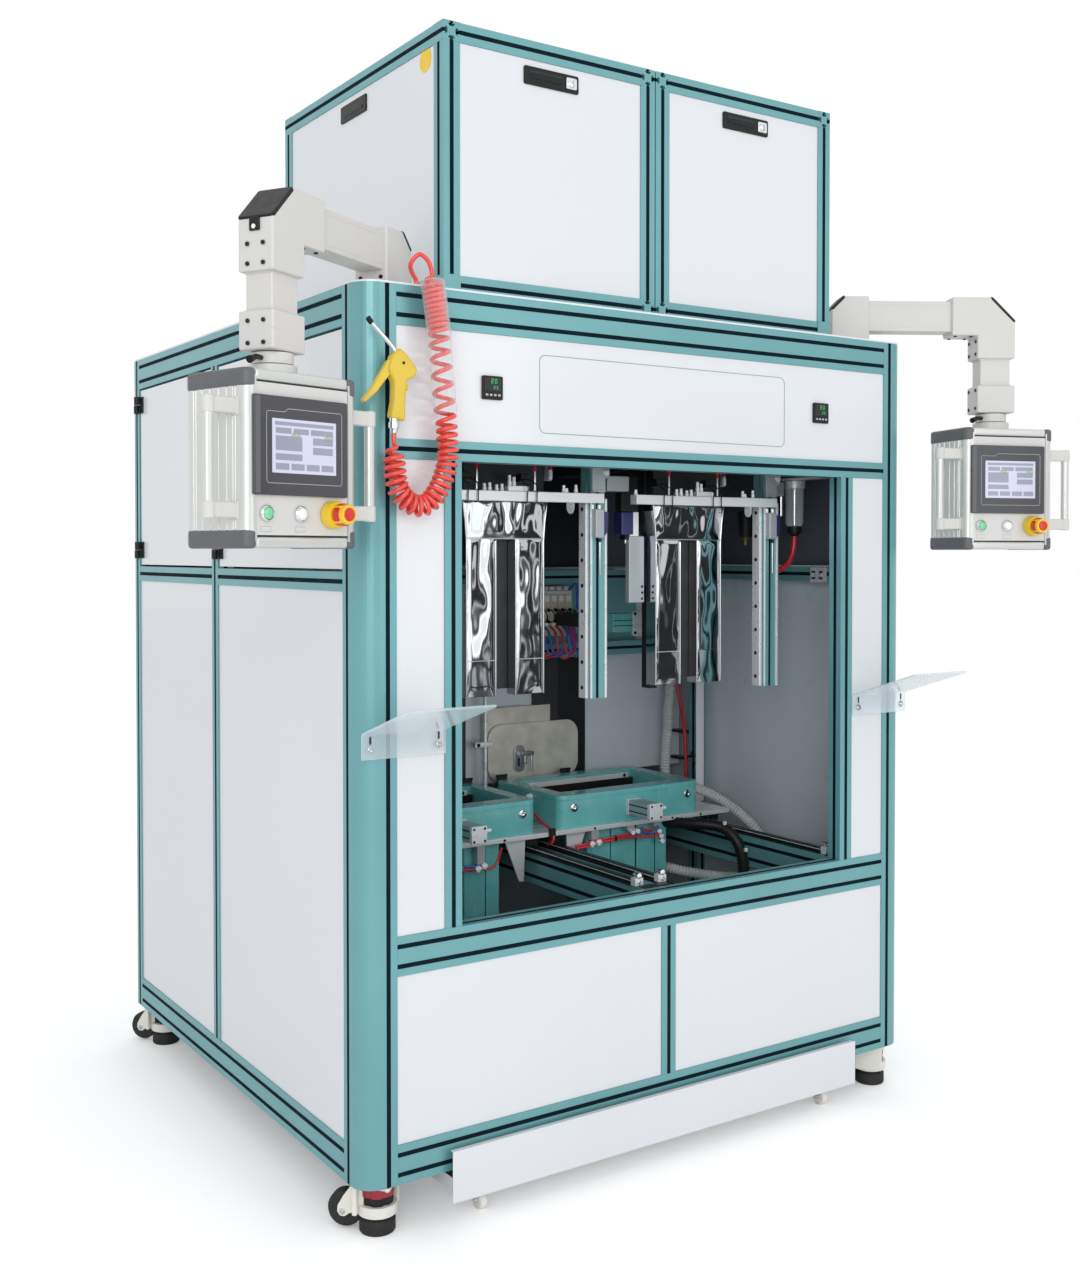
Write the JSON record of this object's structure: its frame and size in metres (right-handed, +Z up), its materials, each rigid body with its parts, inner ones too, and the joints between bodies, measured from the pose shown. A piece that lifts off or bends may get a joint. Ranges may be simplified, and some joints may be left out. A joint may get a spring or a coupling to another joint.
{
  "type": "brick vacuum packing machine",
  "caption": "Powder brick vacuum packing machine in a slotted aluminium frame, with moulds on a slide, feed cabinets and control boxes on swing arms.",
  "frame": {"origin": "on the floor, at the middle of the footprint of the whole machine", "axes": "+Z up, the working front faces -Y, +X is to the right seen from the front"},
  "size_m": [2.3308, 1.662, 2.4716],
  "materials": {
    "teal_profile": "satin powder coat",
    "white_panel": "glossy enamel",
    "grey_sheet": "satin",
    "dark_sheet": "matte",
    "off_white_casting": "satin",
    "console_aluminium": "satin",
    "screen_bezel": "fine texture",
    "polished_steel": "mirror polished",
    "green_enamel": "satin enamel",
    "carriage_plate": "milled",
    "castor_white": "satin",
    "clear_acrylic": "clear",
    "gun_yellow": "glossy",
    "spring_hose_red": "glossy",
    "valve_beige": "fine texture"
  },
  "bodies": {
    "machine": {"front_left_post": "teal_profile", "front_right_post": "teal_profile", "front_top_beam": "teal_profile", "header_rail": "teal_profile", "sill_beam": "teal_profile", "front_bottom_beam": "teal_profile", "front_lower_post": "teal_profile", "left_opening_post": "teal_profile", "right_opening_post": "teal_profile", "header_panel": "white_panel", "left_strip_panel": "white_panel", "right_strip_panel": "white_panel", "lower_left_panel": "white_panel", "lower_right_panel": "white_panel", "left_back_post": "teal_profile", "left_top_beam": "teal_profile", "left_bottom_beam": "teal_profile", "left_mid_post": "teal_profile", "left_front_mid_rail": "teal_profile", "left_rear_mid_rail": "teal_profile", "left_lower_front_panel": "white_panel", "left_lower_rear_panel": "white_panel", "right_wall": "teal_profile", "back_wall": "teal_profile", "roof_deck": "off_white_casting", "floor_pan": "dark_sheet", "inner_partition": "grey_sheet", "mounting_plate": "teal_profile", "valve_bank": "valve_beige", "upper_left_cabinet": "white_panel", "upper_right_cabinet": "white_panel", "upper_left_door": "white_panel", "upper_right_door": "white_panel", "front_left_foot": "castor_white", "front_right_foot": "castor_white", "back_left_foot": "castor_white", "back_right_foot": "castor_white", "left_shelf": "clear_acrylic", "right_shelf": "clear_acrylic", "left_spout": "polished_steel", "right_spout": "polished_steel", "left_lift_guide": "teal_profile", "right_lift_guide": "teal_profile", "carriage_rails": "teal_profile", "air_gun": "gun_yellow", "spring_hose": "spring_hose_red"},
    "left_front_door": {"left_front_door": "white_panel"},
    "left_rear_door": {"left_rear_door": "white_panel"},
    "left_arm": {"left_arm": "off_white_casting"},
    "left_console": {"left_control_box": "console_aluminium", "left_screen": "screen_bezel"},
    "right_arm": {"right_arm": "off_white_casting"},
    "right_console": {"right_control_box": "console_aluminium", "right_screen": "screen_bezel"},
    "tray": {"powder_tray": "white_panel"},
    "carriage": {"mould_carriage": "carriage_plate", "left_mould": "green_enamel", "right_mould": "green_enamel"}
  },
  "joints": [
    {"name": "left_front_door_hinge", "type": "hinge", "parent": "machine", "child": "left_front_door", "pos_m": [-0.783, 0.19046, 1.6], "axis": [0, 0, -1], "range_deg": [0, 100]},
    {"name": "left_rear_door_hinge", "type": "hinge", "parent": "machine", "child": "left_rear_door", "pos_m": [-0.783, 0.78846, 1.6], "axis": [0, 0, -1], "range_deg": [0, 100]},
    {"name": "left_arm_swing", "type": "hinge", "parent": "machine", "child": "left_arm", "pos_m": [-0.669, -0.47504, 1.95], "axis": [0, 0, 1], "range_deg": [-60, 35]},
    {"name": "left_console_swivel", "type": "hinge", "parent": "left_arm", "child": "left_console", "pos_m": [-0.99473, -0.67076, 1.7], "axis": [0, 0, 1], "range_deg": [-60, 60]},
    {"name": "right_arm_swing", "type": "hinge", "parent": "machine", "child": "right_arm", "pos_m": [0.669, -0.47504, 1.95], "axis": [0, 0, -1], "range_deg": [-60, 35]},
    {"name": "right_console_swivel", "type": "hinge", "parent": "right_arm", "child": "right_console", "pos_m": [0.99473, -0.67076, 1.7], "axis": [0, 0, -1], "range_deg": [-60, 60]},
    {"name": "powder_tray_slide", "type": "slide", "parent": "machine", "child": "tray", "axis": [0, -1, 0], "range_m": [0, 0.5]},
    {"name": "mould_carriage_slide", "type": "slide", "parent": "machine", "child": "carriage", "axis": [0, -1, 0], "range_m": [0, 0.25]}
  ]
}
